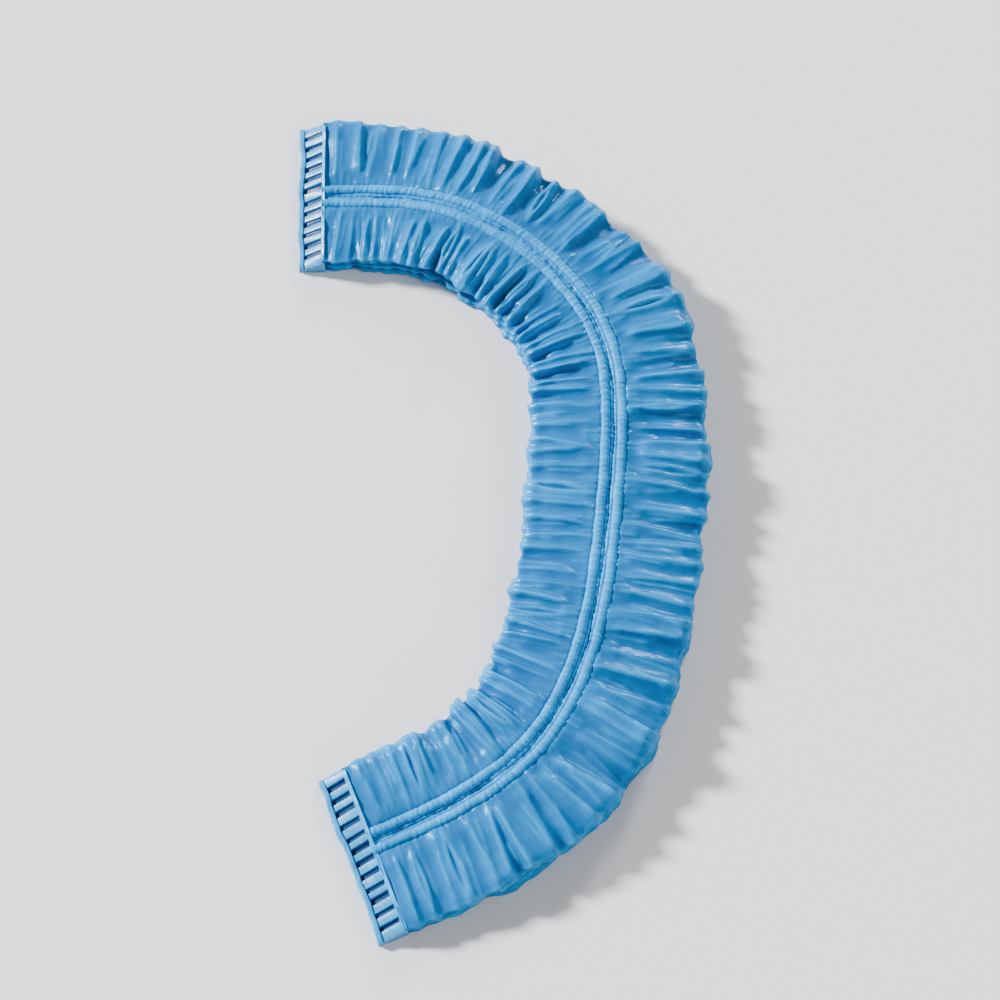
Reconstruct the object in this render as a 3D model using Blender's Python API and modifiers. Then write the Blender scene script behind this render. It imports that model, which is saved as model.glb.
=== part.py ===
"""A disposable shower cap in its folded strip form, bent as it lies on a table. Metres, +Z up.

One continuous film is folded into a gusseted strip and gathered into crosswise flutes. Two gathered elastic
hems lie side by side along its middle, with the cap's mouth between them, and a heat seal closes each cut end.
The strip is built along its hem line, which starts at the back seal and bends clockwise seen from above.
"""

import math

import bmesh
import bpy
from mathutils import Vector

# Strip
STRIP_LENGTH = 0.200  # along the hem line, from one cut end to the other
STRIP_WIDTH = 0.0335  # from outer fold to outer fold at the widest
HEM_OFFSET = 0.0012  # how far the hem line lies from the strip's middle, towards the inside of the bend
PUFF_RUN = 0.032  # how far from a seal the pressed layers take to puff up

# Film
FILM_WALL = 0.0010
LAYER_GAP = 0.0012  # between puffed layers
PRESSED_GAP = 0.0003  # between layers at a seal
GUSSET_REACH = 0.0050  # from the hem line to a gusset's inner fold

# Flutes
FLUTE_PITCH = 0.0045
FLUTE_DEPTH = 0.0018  # crest to valley on the top flaps
PRESSED_FLUTES = 0.35  # how much of their depth the flutes keep at a seal, as a share
FIN_REACH = 0.0014  # crest to valley of the frill at an outer fold
FLUTE_SWAY = 0.28  # how uneven the flutes are spaced, as a share of the step from crest to valley
FLUTE_FADE = 0.35  # how much shallower the weakest flute is than the deepest, as a share

# Elastic hems
HEM_DIAMETER = 0.0016
HEM_SPACING = 0.0032  # between the two hems' middles
HEM_PROUD = 0.0008  # how far a hem stands above the flap beside it
SPINE_RISE = 0.0008  # how much higher a puffed flap is at the hems than at its outer fold
SEAT_END = math.radians(-95)  # how far round under a hem the film reaches, from level outwards

# End seals
SEAL_LENGTH = 0.0055
RIM_LENGTH = 0.0010
RIM_HEIGHT = 0.0018
WELD_LINE = 0.0007  # length of the bar that ends the comb beside the film
COMB_FOOT = 0.0014  # height of the comb beside the rim
SLOT_WIDTH = 0.0010
SLOT_PITCH = 0.0025
SLOT_DEPTH = 0.0007

CLEARANCE = 0.0003  # between neighbouring pieces

# Bend of the hem line: (share of the way between the seals, heading in degrees from +X)
BEND_TABLE = (
    (0.00, 1),
    (0.05, -6),
    (0.13, -21),
    (0.22, -37),
    (0.30, -53),
    (0.37, -73),
    (0.43, -89),
    (0.50, -94),
    (0.62, -98),
    (0.70, -105),
    (0.79, -122),
    (0.88, -148),
    (0.94, -156),
    (1.00, -158),
)

# Width of the strip: (share of the way between the seals, share of the full width)
WIDTH_TABLE = (
    (0.00, 0.97),
    (0.10, 0.90),
    (0.22, 0.89),
    (0.40, 0.98),
    (0.55, 1.00),
    (0.75, 0.99),
    (0.90, 0.96),
    (1.00, 0.97),
)

# Half of the folded section, from the middle of the base out, in through the gusset, out and back over the
# top: (line it is measured from, fold radii outwards from it, layer, share of a flute's rise, share of its fin)
FOLD_TABLE = (
    ("middle", 0.0, 0.0, 0.0, 0.0),
    ("inner_fold", 0.0, 0.0, 0.0, 0.0),
    ("outer_fold", -1.2, 0.06, 0.4, 0.5),
    ("outer_fold", 0.0, 0.5, 0.3, 1.0),
    ("outer_fold", -1.2, 1.0, 0.3, 0.5),
    ("inner_fold", 1.2, 1.0, 0.0, 0.0),
    ("inner_fold", 0.0, 1.5, 0.0, 0.0),
    ("inner_fold", 1.2, 2.0, 0.0, 0.0),
    ("outer_fold", -1.6, 2.0, 0.4, 0.5),
    ("outer_fold", -0.4, 2.5, 0.5, 1.0),
    ("outer_fold", -1.6, 3.0, 0.8, 0.5),
    ("flap_crown", 0.0, 3.2, 1.0, 0.0),
)
TOP_LAYER = 3

LINE_STEP = 0.00025  # between the traced points of the hem line

FILM_START = SEAL_LENGTH + CLEARANCE
FILM_LENGTH = STRIP_LENGTH - 2 * FILM_START
SEAT_RADIUS = (HEM_DIAMETER + FILM_WALL) / 2 + CLEARANCE


def read_table(table, share):
    """The second column of a table at a share of the first, in straight lines between the rows."""
    share = min(max(share, 0.0), 1.0)
    for (start, low), (end, high) in zip(table, table[1:]):
        if share <= end:
            return low + (high - low) * (share - start) / (end - start)
    return table[-1][1]


def between_seals(distance):
    """A distance along the strip as a share of the way between the seals."""
    return (distance - SEAL_LENGTH) / (STRIP_LENGTH - 2 * SEAL_LENGTH)


def trace_hem_line():
    """The hem line as a list of (place, heading), straight through each seal and bent between them."""
    count = round(STRIP_LENGTH / LINE_STEP)
    step = STRIP_LENGTH / count
    place = Vector((0.0, 0.0, 0.0))
    line = []
    for number in range(count + 1):
        heading = math.radians(read_table(BEND_TABLE, between_seals(number * step)))
        line.append((place.copy(), heading))
        place += step * Vector((math.cos(heading), math.sin(heading), 0.0))
    return line


def read_line(line, distance):
    """(place, heading) at a distance along the hem line."""
    position = distance / STRIP_LENGTH * (len(line) - 1)
    number = min(int(position), len(line) - 2)
    part = position - number
    place = line[number][0].lerp(line[number + 1][0], part)
    heading = line[number][1] * (1 - part) + line[number + 1][1] * part
    return place, heading


def outwards(heading):
    """The level direction across the strip, towards the outside of the bend."""
    return Vector((-math.sin(heading), math.cos(heading), 0.0))


def puff(distance):
    """How far the layers have puffed up, from 0 at a seal to 1."""
    share = min(max((min(distance, STRIP_LENGTH - distance) - FILM_START) / PUFF_RUN, 0.0), 1.0)
    return share * share * (3 - 2 * share)


def layer_pitch(rise):
    """From one layer's middle to the next one's."""
    return FILM_WALL + PRESSED_GAP + rise * (LAYER_GAP - PRESSED_GAP)


def flap_height(rise):
    """Height of the middle of the top flaps' film beside the hems."""
    return FILM_WALL / 2 + TOP_LAYER * layer_pitch(rise) + rise * SPINE_RISE


def hem_height(rise):
    """Height of a hem's middle."""
    return flap_height(rise) + FILM_WALL / 2 + rise * HEM_PROUD - HEM_DIAMETER / 2


def half_width(distance, side):
    """From the hem line to an outer fold. side is 1 outside the bend and -1 inside it."""
    return STRIP_WIDTH / 2 * read_table(WIDTH_TABLE, between_seals(distance)) + side * HEM_OFFSET


def side_profile(reach, rise, flute):
    """Half of the film's section as (across, height), from the middle of the base to under the hem.

    reach is the half width, rise the puff, and flute runs from -1 in a valley to 1 on a crest.
    """
    pitch = layer_pitch(rise)
    swing = flute * (PRESSED_FLUTES + (1 - PRESSED_FLUTES) * rise)
    starts = {
        "middle": 0.0,
        "inner_fold": GUSSET_REACH,
        "outer_fold": reach,
        "flap_crown": (GUSSET_REACH + reach) / 2,
    }
    points = []
    for start, radii, layer, rise_share, fin_share in FOLD_TABLE:
        across = starts[start] + radii * pitch / 2 + fin_share * swing * FIN_REACH / 2
        lift = rise_share * swing * FLUTE_DEPTH / 2
        if layer < 1:
            lift = max(lift, 0.0)
        points.append((across, FILM_WALL / 2 + layer * pitch + lift))
    return points + hem_seat(rise)


def hem_seat(rise):
    """The film's edge where it turns down round a hem and under it, as (across, height)."""
    hem = hem_height(rise)
    start = math.asin((flap_height(rise) - hem) / SEAT_RADIUS)
    turn = (SEAT_END - start) / 2
    radius = SEAT_RADIUS / math.cos(turn / 2)
    angles = (start, start + turn, SEAT_END)
    return [(HEM_SPACING / 2 + radius * math.cos(a), hem + radius * math.sin(a)) for a in angles]


def flute_stations():
    """Distances of the film's sections, a crest and a valley to each flute."""
    count = 2 * round(FILM_LENGTH / FLUTE_PITCH)
    stations = []
    for number in range(count + 1):
        sway = FLUTE_SWAY * math.sin(2.4 * number) if 0 < number < count else 0.0
        stations.append(FILM_START + FILM_LENGTH * (number + sway) / count)
    return stations


def flute_strength(number, side):
    """1 on a crest and -1 in a valley, fading and swelling along the strip and mirrored across it."""
    fade = FLUTE_FADE * (0.5 + 0.5 * math.sin(1.3 * number + 2.0 * side))
    return side * (-1) ** number * (1 - fade)


def film_section(line, distance, number):
    """The film's whole section at a distance, from under the outer hem round the base to the inner one."""
    place, heading = read_line(line, distance)
    rise = puff(distance)
    half = {}
    for side in (1, -1):
        profile = side_profile(half_width(distance, side), rise, flute_strength(number, side))
        half[side] = [place + outwards(heading) * side * u + Vector((0.0, 0.0, z)) for u, z in profile]
    return half[1][::-1] + half[-1][1:]


def new_material(name, colour, roughness, alpha=1.0):
    """A Principled material with a plain colour."""
    material = bpy.data.materials.new(name)
    material.use_nodes = True
    shader = material.node_tree.nodes["Principled BSDF"]
    shader.inputs["Base Color"].default_value = (*colour, 1.0)
    shader.inputs["Roughness"].default_value = roughness
    shader.inputs["Metallic"].default_value = 0.0
    shader.inputs["Alpha"].default_value = alpha
    return material


def new_object(name, data, collection, parent, material):
    """An object of a mesh or curve in the collection, with its material."""
    piece = bpy.data.objects.new(name, data)
    data.materials.append(material)
    collection.objects.link(piece)
    piece.parent = parent
    return piece


def make_film(line, collection, parent, material):
    """The folded and fluted film: an open sheet lofted through its sections, given its wall by Solidify."""
    sections = [film_section(line, station, number) for number, station in enumerate(flute_stations())]
    wide = len(sections[0])
    bm = bmesh.new()
    rows = [[bm.verts.new(point) for point in section] for section in sections]
    for row, following in zip(rows, rows[1:]):
        for across in range(wide - 1):
            bm.faces.new((row[across], row[across + 1], following[across + 1], following[across]))
    mesh = bpy.data.meshes.new("cap_film")
    bm.to_mesh(mesh)
    bm.free()
    film = new_object("cap_film", mesh, collection, parent, material)
    wall = film.modifiers.new("wall", "SOLIDIFY")
    wall.thickness = FILM_WALL
    wall.offset = 0.0
    wall.use_even_offset = True
    return film


def make_hem(name, side, line, collection, parent, material):
    """One elastic hem, a cord that follows the hem line beside the mouth."""
    curve = bpy.data.curves.new(name, "CURVE")
    curve.dimensions = "3D"
    curve.bevel_depth = HEM_DIAMETER / 2
    curve.bevel_resolution = 2
    curve.use_fill_caps = True
    stations = flute_stations()[::2]
    spline = curve.splines.new("POLY")
    spline.points.add(len(stations) - 1)
    for point, distance in zip(spline.points, stations):
        place, heading = read_line(line, distance)
        place = place + outwards(heading) * side * HEM_SPACING / 2
        point.co = (place.x, place.y, hem_height(puff(distance)), 1.0)
    return new_object(name, curve, collection, parent, material)


def extruded_outline(name, outline, low, high):
    """A mesh of an outline in X and Z, extruded in Y from low to high."""
    bm = bmesh.new()
    face = bm.faces.new([bm.verts.new((x, low, z)) for x, z in outline])
    extruded = bmesh.ops.extrude_face_region(bm, geom=[face])
    moved = [item for item in extruded["geom"] if isinstance(item, bmesh.types.BMVert)]
    bmesh.ops.translate(bm, verts=moved, vec=(0.0, high - low, 0.0))
    bmesh.ops.recalc_face_normals(bm, faces=bm.faces)
    mesh = bpy.data.meshes.new(name)
    bm.to_mesh(mesh)
    bm.free()
    return mesh


def make_seal(name, place, heading, left, right, collection, cutters, parent, material):
    """A heat seal: a thin rim at the cut end, and a ramp up to the film's layers with a comb of slots.

    It is modelled with its cut end at x = 0 and the film towards +X. left and right are its reaches to +Y
    and -Y.
    """
    stack = flap_height(0.0) + FILM_WALL / 2
    slope = (stack - COMB_FOOT) / (SEAL_LENGTH - RIM_LENGTH)
    outline = (
        (0.0, 0.0),
        (SEAL_LENGTH, 0.0),
        (SEAL_LENGTH, stack),
        (RIM_LENGTH, COMB_FOOT),
        (RIM_LENGTH, RIM_HEIGHT),
        (0.0, RIM_HEIGHT),
    )
    seal = new_object(name, extruded_outline(name, outline, -right, left), collection, parent, material)

    slot_end = SEAL_LENGTH - WELD_LINE
    slot_floor = COMB_FOOT - SLOT_DEPTH
    slot = (
        (RIM_LENGTH, slot_floor),
        (slot_end, slot_floor + slope * (slot_end - RIM_LENGTH)),
        (slot_end, 2 * stack),
        (RIM_LENGTH, 2 * stack),
    )
    count = int((left + right - SLOT_WIDTH) / SLOT_PITCH)
    first = (left - right - (count - 1) * SLOT_PITCH - SLOT_WIDTH) / 2
    comb_name = name + "_comb"
    comb = new_object(
        comb_name, extruded_outline(comb_name, slot, first, first + SLOT_WIDTH), cutters, parent, material
    )
    comb.hide_render = True
    comb.display_type = "WIRE"
    row = comb.modifiers.new("slots", "ARRAY")
    row.count = count
    row.use_relative_offset = False
    row.use_constant_offset = True
    row.constant_offset_displace = (0.0, SLOT_PITCH, 0.0)

    for piece in (seal, comb):
        piece.location = place
        piece.rotation_euler = (0.0, 0.0, heading)
    cut = seal.modifiers.new("comb", "BOOLEAN")
    cut.operation = "DIFFERENCE"
    cut.object = comb
    return seal


def centre_on_floor(parent, pieces):
    """Moves the parent so that the middle of the pieces' box lies over the origin."""
    bpy.context.view_layer.update()
    depsgraph = bpy.context.evaluated_depsgraph_get()
    corners = []
    for piece in pieces:
        seen = piece.evaluated_get(depsgraph)
        mesh = seen.to_mesh()
        corners += [seen.matrix_world @ vertex.co for vertex in mesh.vertices]
        seen.to_mesh_clear()
    for axis in (0, 1):
        places = [corner[axis] for corner in corners]
        parent.location[axis] -= (min(places) + max(places)) / 2


def new_collection(name):
    """A collection in the scene."""
    collection = bpy.data.collections.new(name)
    bpy.context.scene.collection.children.link(collection)
    return collection


def main():
    """Clears the scene and builds the cap."""
    for old in list(bpy.data.objects):
        bpy.data.objects.remove(old)
    cap = new_collection("shower_cap")
    cutters = new_collection("cutters")
    parent = bpy.data.objects.new("strip_start", None)
    cap.objects.link(parent)

    film_blue = new_material("film_blue", (0.095, 0.350, 0.610), 0.25, alpha=0.9)
    hem_blue = new_material("hem_blue", (0.170, 0.510, 0.830), 0.40)
    seal_blue = new_material("seal_blue", (0.230, 0.450, 0.640), 0.35)

    line = trace_hem_line()
    pieces = [make_film(line, cap, parent, film_blue)]
    for name, side in (("elastic_hem_outer", 1), ("elastic_hem_inner", -1)):
        pieces.append(make_hem(name, side, line, cap, parent, hem_blue))

    start, start_heading = line[0]
    end, end_heading = line[-1]
    outer = half_width(0.0, 1)
    inner = half_width(0.0, -1)
    pieces.append(
        make_seal("end_seal_back", start, start_heading, outer, inner, cap, cutters, parent, seal_blue)
    )
    outer = half_width(STRIP_LENGTH, 1)
    inner = half_width(STRIP_LENGTH, -1)
    turned = end_heading + math.pi
    pieces.append(make_seal("end_seal_front", end, turned, inner, outer, cap, cutters, parent, seal_blue))
    centre_on_floor(parent, pieces)


main()
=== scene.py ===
"""The looks of a folded disposable shower cap, laid out as a Blender add-on and run as a script.

The frame gives the solids of the strip. Thin fluted film, gathered elastic hems and pressed end seals take
their place, and a stage with a camera and soft light stands round them.
"""

import math

import bmesh
import bpy
import numpy as np
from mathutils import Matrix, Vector


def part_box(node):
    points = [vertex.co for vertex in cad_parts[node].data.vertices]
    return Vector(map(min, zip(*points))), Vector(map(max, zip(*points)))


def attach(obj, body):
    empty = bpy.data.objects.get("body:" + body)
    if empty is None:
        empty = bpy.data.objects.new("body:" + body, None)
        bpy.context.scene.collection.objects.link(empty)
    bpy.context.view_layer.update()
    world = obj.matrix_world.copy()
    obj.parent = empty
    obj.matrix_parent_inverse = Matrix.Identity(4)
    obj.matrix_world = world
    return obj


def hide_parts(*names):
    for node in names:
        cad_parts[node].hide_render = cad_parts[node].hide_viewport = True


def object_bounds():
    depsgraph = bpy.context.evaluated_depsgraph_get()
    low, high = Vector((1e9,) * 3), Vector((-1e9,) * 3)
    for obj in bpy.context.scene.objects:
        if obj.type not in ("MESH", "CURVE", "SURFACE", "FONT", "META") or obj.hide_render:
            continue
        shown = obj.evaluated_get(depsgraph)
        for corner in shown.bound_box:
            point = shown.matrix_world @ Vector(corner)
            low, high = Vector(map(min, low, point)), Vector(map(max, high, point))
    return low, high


bl_info = {
    "name": "Folded Shower Cap",
    "version": (1, 0, 0),
    "blender": (4, 5, 0),
    "location": "3D View > Sidebar > Shower Cap",
    "description": "Fluted film, gathered hems and pressed seals for a folded shower cap",
    "category": "Object",
}

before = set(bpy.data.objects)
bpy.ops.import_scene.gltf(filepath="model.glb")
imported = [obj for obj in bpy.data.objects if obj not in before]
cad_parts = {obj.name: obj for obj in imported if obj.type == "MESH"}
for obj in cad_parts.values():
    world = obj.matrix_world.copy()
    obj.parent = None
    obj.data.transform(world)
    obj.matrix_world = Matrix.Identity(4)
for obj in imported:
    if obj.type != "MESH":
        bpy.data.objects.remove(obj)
CAD_LOW, CAD_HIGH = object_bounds()
BODY = "root"
MM = 0.001
FULL_TURN = 2 * math.pi

# From a hem to the outer fold, measured across the film
FLAP_RUN = 13 * MM
# How far from a hidden fold the creases fade out
JOINT_RUN = 1.5 * MM
# Height of the plies that show at a seal's edges
PLY_HEIGHT = 0.45 * MM
# Normals with at least this much of their length upwards belong to a seal's upper faces
UPWARDS = 0.3

# Room: its colour, its strength as light on the cap and as the camera sees it
ROOM_COLOUR = (0.93, 0.96, 1.0, 1.0)
ROOM_LIGHT = 0.34
ROOM_SEEN = 0.85

# Lights: (name, place that it shines from, spread in degrees, strength)
LIGHTS = (
    ("key light", (-0.66, 0.27, 0.38), 9, 10.6),
    ("fill light", (0.60, -0.35, 0.50), 32, 1.2),
    ("back light", (0.30, 0.75, 0.35), 10, 2.0),
)

# Camera: degrees above the floor, lens and half the sensor in mm, share of the picture that the cap fills
CAMERA_LIFT = 68
CAMERA_LENS = 85.0
CAMERA_HALF_SENSOR = 18.0
CAMERA_FILL = 0.82

# Bend of the hem line: (share of the way between the seals, heading in degrees from +X)
BEND_TABLE = (
    (0.00, 1),
    (0.05, -6),
    (0.13, -21),
    (0.22, -37),
    (0.30, -53),
    (0.37, -73),
    (0.43, -89),
    (0.50, -94),
    (0.62, -98),
    (0.70, -105),
    (0.79, -122),
    (0.88, -148),
    (0.94, -156),
    (1.00, -158),
)

# Width of the strip: (share of the way between the seals, share of the full width)
WIDTH_TABLE = (
    (0.00, 0.97),
    (0.10, 0.90),
    (0.22, 0.89),
    (0.40, 0.98),
    (0.55, 1.00),
    (0.75, 0.99),
    (0.90, 0.96),
    (1.00, 0.97),
)

# Sections of the film, from one edge or hidden fold to the next:
# (line it is measured from, mm outwards from it, mm high where puffed, mm high where pressed)
# The lines are the middle between the hems, a hem's own middle, the inner folds, the outer folds and the
# crown halfway between these. A seat lies on a hem's line, where a flap leaves the hem. A fold lies on the
# outer line, as the outermost place of a layer.
FLAP_TABLE = (
    ("middle", 0.03, 7.88, 3.56),
    ("middle", 0.18, 8.26, 3.88),
    ("middle", 0.50, 8.40, 3.98),
    ("middle", 0.92, 8.16, 3.76),
    ("hem", -0.05, 7.62, 3.36),
    ("seat", 0.66, 8.22, 3.86),
    ("hem", 1.05, 8.52, 4.20),
    ("hem", 1.90, 8.48, 4.38),
    ("crown", -2.5, 8.02, 4.44),
    ("crown", 0.4, 7.72, 4.44),
    ("outer", -2.5, 7.18, 4.40),
    ("outer", -1.2, 6.96, 4.28),
    ("outer", -0.30, 6.76, 4.14),
    ("fold", 0.05, 6.60, 4.04),
    ("outer", -0.25, 6.42, 3.95),
    ("outer", -1.1, 6.26, 3.87),
    ("crown", 0.0, 6.14, 3.76),
    ("inner", 1.2, 6.10, 3.72),
    ("inner", 0.3, 6.00, 3.68),
    ("inner", 0.0, 5.85, 3.60),
)
LEAF_TABLE = (
    ("inner", 0.0, 5.85, 3.60),
    ("inner", 0.3, 5.70, 3.52),
    ("inner", 1.2, 5.60, 3.48),
    ("crown", 0.0, 5.60, 3.42),
    ("outer", -1.9, 5.58, 3.38),
    ("outer", -0.8, 5.40, 3.27),
    ("fold", -0.35, 5.18, 3.15),
    ("outer", -0.8, 5.00, 3.04),
    ("outer", -1.9, 4.78, 2.94),
    ("crown", 0.0, 4.60, 2.85),
    ("inner", 0.9, 4.45, 2.78),
    ("inner", -0.2, 3.85, 2.50),
    ("inner", 0.9, 3.25, 2.22),
    ("crown", 0.0, 3.25, 2.12),
    ("outer", -1.9, 3.22, 2.04),
    ("outer", -0.7, 2.98, 1.93),
    ("fold", -0.2, 2.72, 1.80),
    ("outer", -0.7, 2.52, 1.69),
    ("outer", -1.9, 2.30, 1.58),
    ("crown", 0.0, 2.16, 1.48),
    ("inner", 1.2, 2.10, 1.42),
    ("inner", 0.3, 2.00, 1.36),
    ("inner", 0.0, 1.85, 1.28),
)
BASE_TABLE = (
    ("inner", 0.0, 1.85, 1.28),
    ("inner", 0.3, 1.68, 1.18),
    ("inner", 1.2, 1.60, 1.12),
    ("crown", 0.0, 1.52, 1.02),
    ("outer", -1.9, 1.42, 0.92),
    ("outer", -0.6, 1.12, 0.76),
    ("fold", -0.05, 0.82, 0.58),
    ("outer", -0.6, 0.58, 0.42),
    ("outer", -1.9, 0.34, 0.28),
    ("crown", 0.0, 0.20, 0.20),
    ("inner", 0.0, 0.14, 0.14),
    ("middle", 0.0, 0.14, 0.14),
)

# Lengths in metres of the slow waves that bend things: the outer folds in and out, the film up and down, and
# a hem's thickness, its fine gathers and its way
WANDER_WAVES = (0.011, 0.019, 0.043)
FILM_WAVES = (0.008, 0.013, 0.022, 0.040)
SWELL_WAVES = (0.0037, 0.0071, 0.017)
GATHER_WAVES = (0.00083, 0.00097, 0.00113, 0.00141, 0.0019)
SWAY_WAVES = (0.0061, 0.0113, 0.024)
# Waves in a pressed seal: (length in metres, height in mm)
SEAL_WAVES = ((0.0031, 0.04), (0.0053, 0.07), (0.0112, 0.14), (0.021, 0.16))


def table_columns(table):
    """The columns of a table of numbers, as arrays."""
    return np.array(table, float).T


def smooth_step(low, high, value):
    """0 below low, 1 above high and smooth between them."""
    share = np.clip((value - low) / (high - low), 0.0, 1.0)
    return share * share * (3 - 2 * share)


def bell(away, width):
    """1 where away is 0, falling off over about a width to each side."""
    return np.exp(-((away / width) ** 2))


class HemLine:
    """The line midway between the hems, bent as the frame's hems are and at their size and place."""

    steps = 1600

    def __init__(self):
        self.shares = np.linspace(0.0, 1.0, self.steps + 1)
        self.headings = np.radians(np.interp(self.shares, *table_columns(BEND_TABLE)))
        middles = (self.headings[1:] + self.headings[:-1]) / 2
        x = np.concatenate(([0.0], np.cumsum(np.cos(middles)))) / self.steps
        y = np.concatenate(([0.0], np.cumsum(np.sin(middles)))) / self.steps
        boxes = [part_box("elastic_hem_outer"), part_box("elastic_hem_inner")]
        radius = bpy.context.scene.cap_sizes.hem_thickness / 2
        inset = Vector((radius, radius, radius))
        low = sum((box[0] for box in boxes), Vector()) / 2 + inset
        high = sum((box[1] for box in boxes), Vector()) / 2 - inset
        self.run = (high.y - low.y) / (y.max() - y.min())
        self.x = high.x + self.run * (x - x.max())
        self.y = high.y + self.run * (y - y.max())

    def share(self, along):
        """Distances along the line as shares of the way between the seals."""
        return np.clip(along / self.run, 0.0, 1.0)

    def at(self, along):
        """(x, y, heading) at distances along the line, which goes straight on past its ends."""
        shares = self.share(along)
        heading = np.interp(shares, self.shares, self.headings)
        past = along - shares * self.run
        x = np.interp(shares, self.shares, self.x) + past * np.cos(heading)
        y = np.interp(shares, self.shares, self.y) + past * np.sin(heading)
        return x, y, heading

    def distances(self, step):
        """Distances along the line about a step apart, from inside one seal to inside the other."""
        tuck = bpy.context.scene.cap_sizes.tuck
        count = round((self.run + 2 * tuck) / step)
        return np.linspace(-tuck, self.run + tuck, count + 1)

    def points(self, along, aside, heights):
        """A grid of points (along, across, 3), from fields of distances to the line's left and of heights."""
        x, y, heading = self.at(along)
        points = np.empty((*aside.shape, 3))
        points[:, :, 0] = x[:, None] - np.sin(heading)[:, None] * aside
        points[:, :, 1] = y[:, None] + np.cos(heading)[:, None] * aside
        points[:, :, 2] = heights
        return points


def puff(shares, run):
    """How far the layers have puffed up, from 0 at a seal to 1."""
    sizes = bpy.context.scene.cap_sizes
    return smooth_step(0.0, sizes.puff_run / run, np.minimum(shares, 1 - shares))


def reach_to_fold(shares, side):
    """From the hem line to an outer fold. side is 1 outside the bend and -1 inside it."""
    sizes = bpy.context.scene.cap_sizes
    width = sizes.strip_width / 2 * np.interp(shares, *table_columns(WIDTH_TABLE))
    return width + side * sizes.hem_offset


def section_knots(table, reach, rise):
    """The knots of each section as an array (section, knot, 2) of distances outwards and heights."""
    sizes = bpy.context.scene.cap_sizes
    hem = np.full_like(reach, sizes.hem_spacing / 2)
    lines = {
        "middle": np.zeros_like(reach),
        "hem": hem,
        "seat": hem,
        "inner": np.full_like(reach, sizes.gusset_reach),
        "crown": (reach + sizes.gusset_reach) / 2,
        "outer": reach,
        "fold": reach,
    }
    knots = np.empty((len(reach), len(table), 2))
    for number, (line, outwards, puffed, pressed) in enumerate(table):
        knots[:, number, 0] = lines[line] + outwards * MM
        knots[:, number, 1] = (pressed + (puffed - pressed) * rise) * MM
    return knots


def curve_weights(knots, spacing):
    """(weights, distances, places) of a smooth curve through the knots, sampled about a spacing apart.

    A row of the weights times the knots is a point of the curve. distances are measured from knot to knot as
    far as the curve's points, and places as far as the knots.
    """
    lengths = np.linalg.norm(np.diff(knots, axis=0), axis=1)
    count = len(knots)
    slopes = np.zeros((count, count))
    slopes[0, :2] = -1 / lengths[0], 1 / lengths[0]
    slopes[-1, -2:] = -1 / lengths[-1], 1 / lengths[-1]
    for i in range(1, count - 1):
        before, after = lengths[i - 1 : i + 1]
        total = before + after
        slopes[i, i - 1] = -after / before / total
        slopes[i, i] = after / before / total - before / after / total
        slopes[i, i + 1] = before / after / total
    rows = []
    distances = []
    for i, length in enumerate(lengths):
        samples = max(2, round(length / spacing))
        is_last = i == count - 2
        for t in np.arange(samples + is_last) / samples:
            row = (t**3 - 2 * t**2 + t) * length * slopes[i] + (t**3 - t**2) * length * slopes[i + 1]
            row[i] += 2 * t**3 - 3 * t**2 + 1
            row[i + 1] += 3 * t**2 - 2 * t**3
            rows.append(row)
            distances.append(lengths[:i].sum() + t * length)
    places = np.concatenate(([0.0], np.cumsum(lengths)))
    return np.array(rows), np.array(distances), places


def grid_normals(points):
    """Unit normals of a grid of points (along, across, 3)."""
    normals = np.cross(np.gradient(points, axis=0), np.gradient(points, axis=1))
    return normals / np.maximum(np.linalg.norm(normals, axis=2, keepdims=True), 1e-12)


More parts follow.
